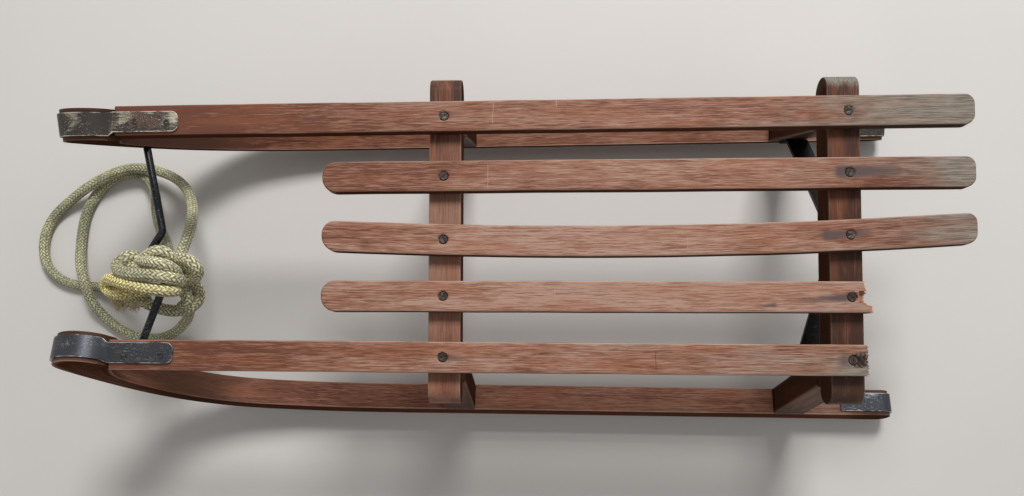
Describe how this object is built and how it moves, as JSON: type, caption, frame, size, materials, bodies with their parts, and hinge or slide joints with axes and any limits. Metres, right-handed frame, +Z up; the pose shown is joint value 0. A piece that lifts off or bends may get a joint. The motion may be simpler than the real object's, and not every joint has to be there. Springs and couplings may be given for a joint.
{
  "type": "wooden sled",
  "caption": "Old slatted wooden sled with bent runners in steel shoes, splayed legs, a V brace, a tow rod and a knotted rope; two seat boards are broken off at the rear.",
  "frame": {"origin": "on the floor, midway between nose and tail, on the centre plane", "axes": "+X to the rear, +Y to the side away from the viewer, +Z up"},
  "size_m": [1.1738, 0.417, 0.2598],
  "materials": {
    "runner_wood": "old varnish, worn",
    "frame_wood": "old varnish, worn",
    "seat_wood": "old varnish, worn and greyed",
    "shoe_steel": "dark worn steel with rust",
    "black_iron": "worn black",
    "rope": "braided cord"
  },
  "bodies": {
    "root": {"runner_near": "runner_wood", "runner_far": "runner_wood", "shoe_near": "shoe_steel", "shoe_far": "shoe_steel", "leg_front_near": "frame_wood", "leg_front_far": "frame_wood", "leg_rear_near": "frame_wood", "leg_rear_far": "frame_wood", "crossbar_front": "frame_wood", "crossbar_rear": "frame_wood", "rail_near": "seat_wood", "rail_far": "seat_wood", "slat_far": "seat_wood", "slat_middle": "seat_wood", "slat_near": "seat_wood", "brace": "black_iron", "tow_rod": "black_iron", "rope_knot": "rope", "rope_outer": "rope", "rope_inner": "rope"}
  },
  "joints": []
}
